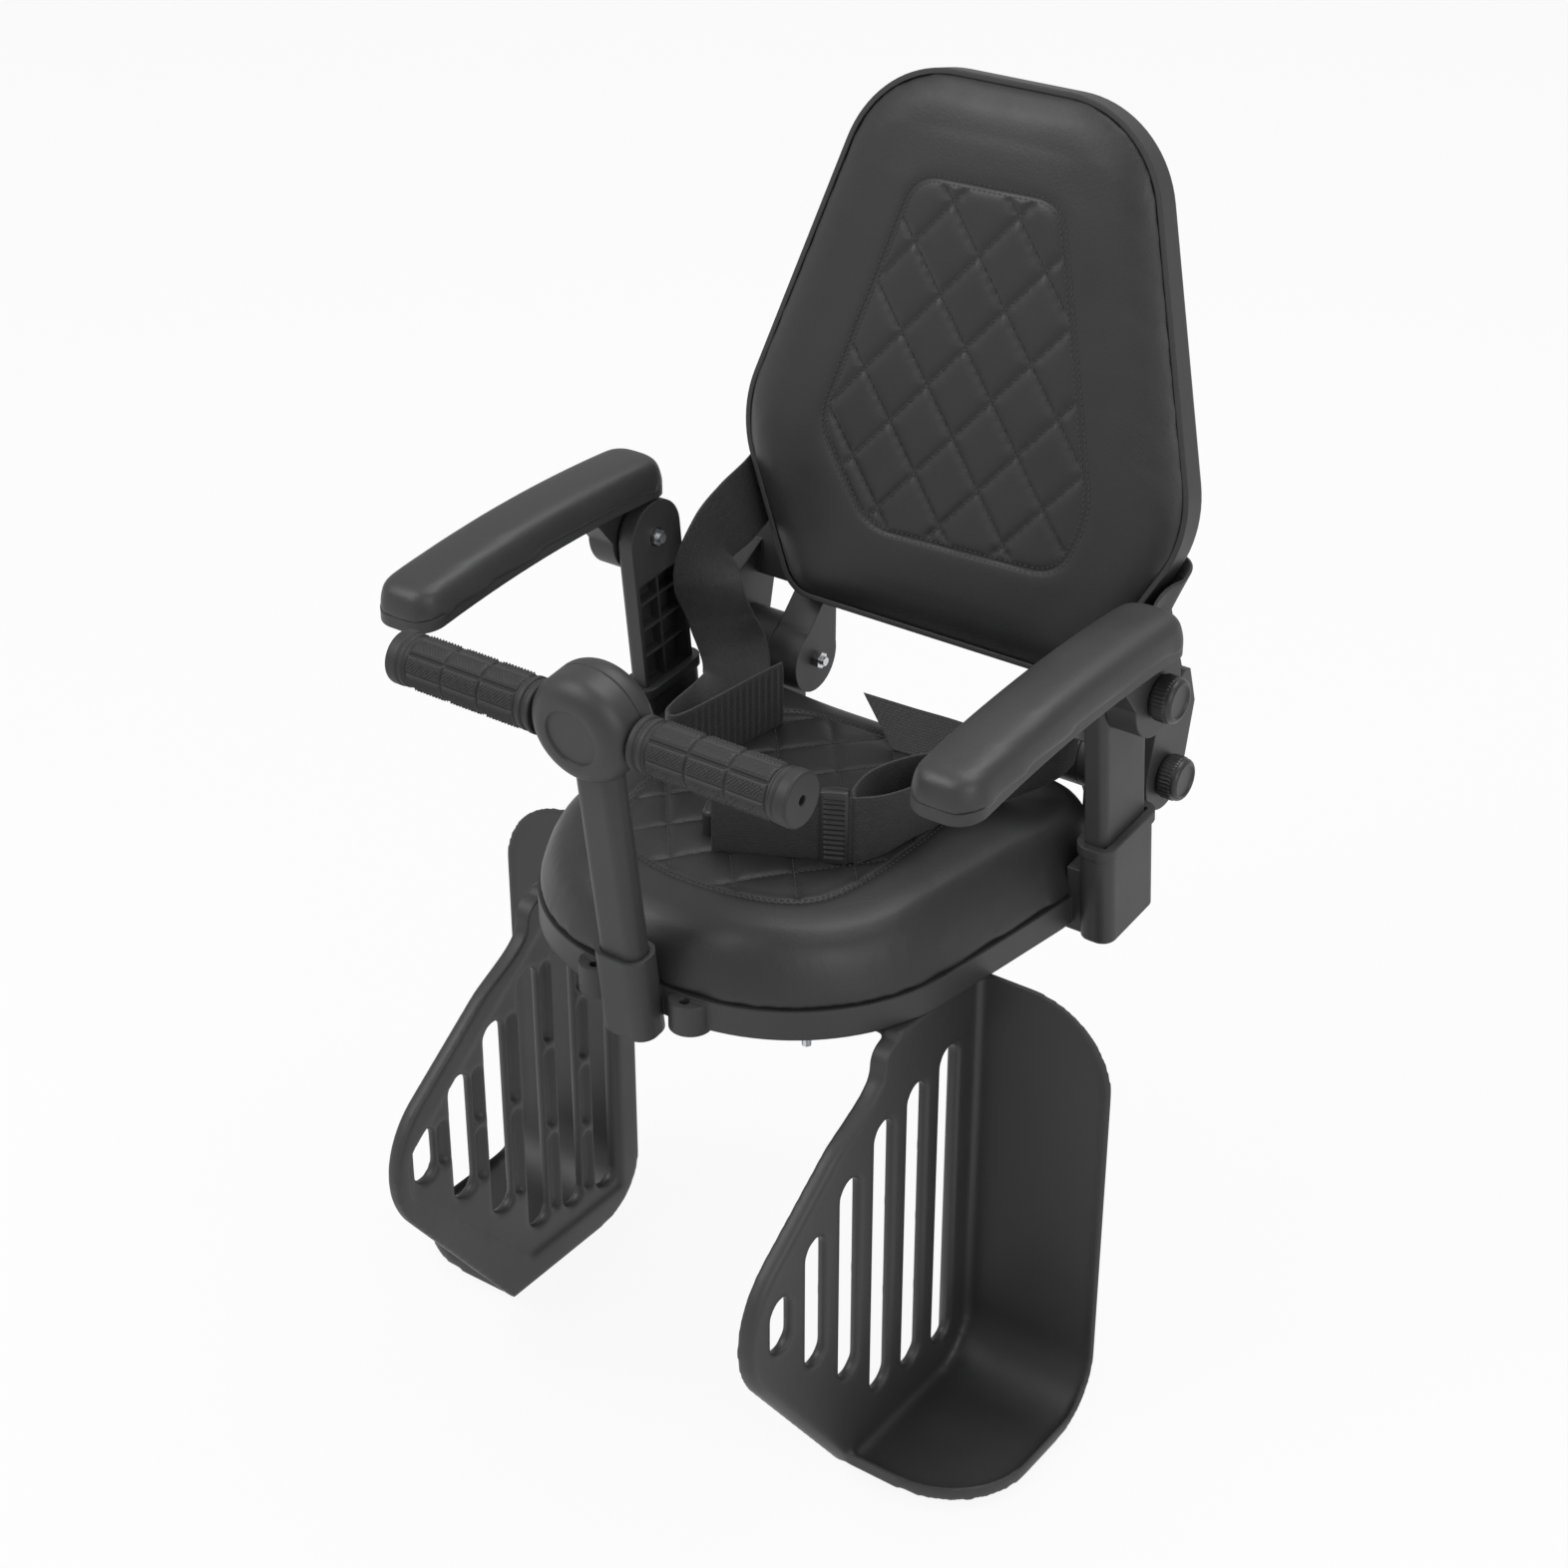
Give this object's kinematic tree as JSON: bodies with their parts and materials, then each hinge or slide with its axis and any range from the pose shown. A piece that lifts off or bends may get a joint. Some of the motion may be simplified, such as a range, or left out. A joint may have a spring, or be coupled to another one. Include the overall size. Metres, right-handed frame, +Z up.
{
  "type": "rear child bike seat",
  "caption": "Padded rear child bike seat with a folding backrest, flip-up armrests, a grab handlebar, slotted footrests and a lap harness, on rack studs.",
  "frame": {"origin": "middle of the rack studs, on the face of the pan that sits on the rack", "axes": "+Z up, the child faces -Y, +X is the child's left hand"},
  "size_m": [0.463, 0.4728, 0.746],
  "materials": {
    "shell": "matte",
    "cushion": "satin",
    "rubber": "matte",
    "webbing": "matte",
    "fitting": "satin",
    "steel": "satin"
  },
  "bodies": {
    "seat": {"seat_pan": "shell", "seat_cushion": "cushion", "rack_studs": "steel", "left_footrest": "shell", "right_footrest": "shell", "footrest_bolts": "steel", "left_armrest_post": "shell", "right_armrest_post": "shell", "post_screws": "steel", "handlebar_front_shell": "shell", "handlebar_rear_shell": "shell", "handlebar_tube": "steel", "left_grip": "rubber", "right_grip": "rubber", "armrest_pivot_nuts": "steel", "left_belt": "webbing", "right_belt": "webbing", "belt_keeper": "fitting", "buckle_socket": "fitting", "buckle_tongue": "fitting"},
    "backrest": {"backrest_shell": "shell", "backrest_cushion": "cushion", "left_backrest_bracket": "shell", "right_backrest_bracket": "shell", "bracket_screws": "steel", "backrest_pivot_nuts": "steel"},
    "left_armrest": {"left_armrest_base": "shell", "left_armrest_pad": "rubber"},
    "right_armrest": {"right_armrest_base": "shell", "right_armrest_pad": "rubber"},
    "left_armrest_clamp": {"left_armrest_knob": "fitting", "left_armrest_bolt": "steel"},
    "right_armrest_clamp": {"right_armrest_knob": "fitting", "right_armrest_bolt": "steel"},
    "left_backrest_clamp": {"left_backrest_knob": "fitting", "left_backrest_bolt": "steel"},
    "right_backrest_clamp": {"right_backrest_knob": "fitting", "right_backrest_bolt": "steel"}
  },
  "joints": [
    {"name": "backrest_fold", "type": "hinge", "parent": "seat", "child": "backrest", "pos_m": [0, 0.164, 0.072], "axis": [1, 0, 0], "range_deg": [-15, 30], "deforming": ["left_belt", "right_belt"]},
    {"name": "left_armrest_flip", "type": "hinge", "parent": "seat", "child": "left_armrest", "pos_m": [0, 0.088, 0.1695], "axis": [-1, 0, 0], "range_deg": [0, 85]},
    {"name": "right_armrest_flip", "type": "hinge", "parent": "seat", "child": "right_armrest", "pos_m": [0, 0.088, 0.1695], "axis": [-1, 0, 0], "range_deg": [0, 85]},
    {"name": "left_armrest_clamp_turn", "type": "hinge", "parent": "left_armrest", "child": "left_armrest_clamp", "pos_m": [0.21, 0.088, 0.1695], "axis": [1, 0, 0], "continuous": true},
    {"name": "left_backrest_clamp_turn", "type": "hinge", "parent": "backrest", "child": "left_backrest_clamp", "pos_m": [0.17, 0.164, 0.072], "axis": [1, 0, 0], "continuous": true},
    {"name": "right_armrest_clamp_turn", "type": "hinge", "parent": "right_armrest", "child": "right_armrest_clamp", "pos_m": [-0.21, 0.088, 0.1695], "axis": [-1, 0, 0], "continuous": true},
    {"name": "right_backrest_clamp_turn", "type": "hinge", "parent": "backrest", "child": "right_backrest_clamp", "pos_m": [-0.17, 0.164, 0.072], "axis": [-1, 0, 0], "continuous": true}
  ]
}
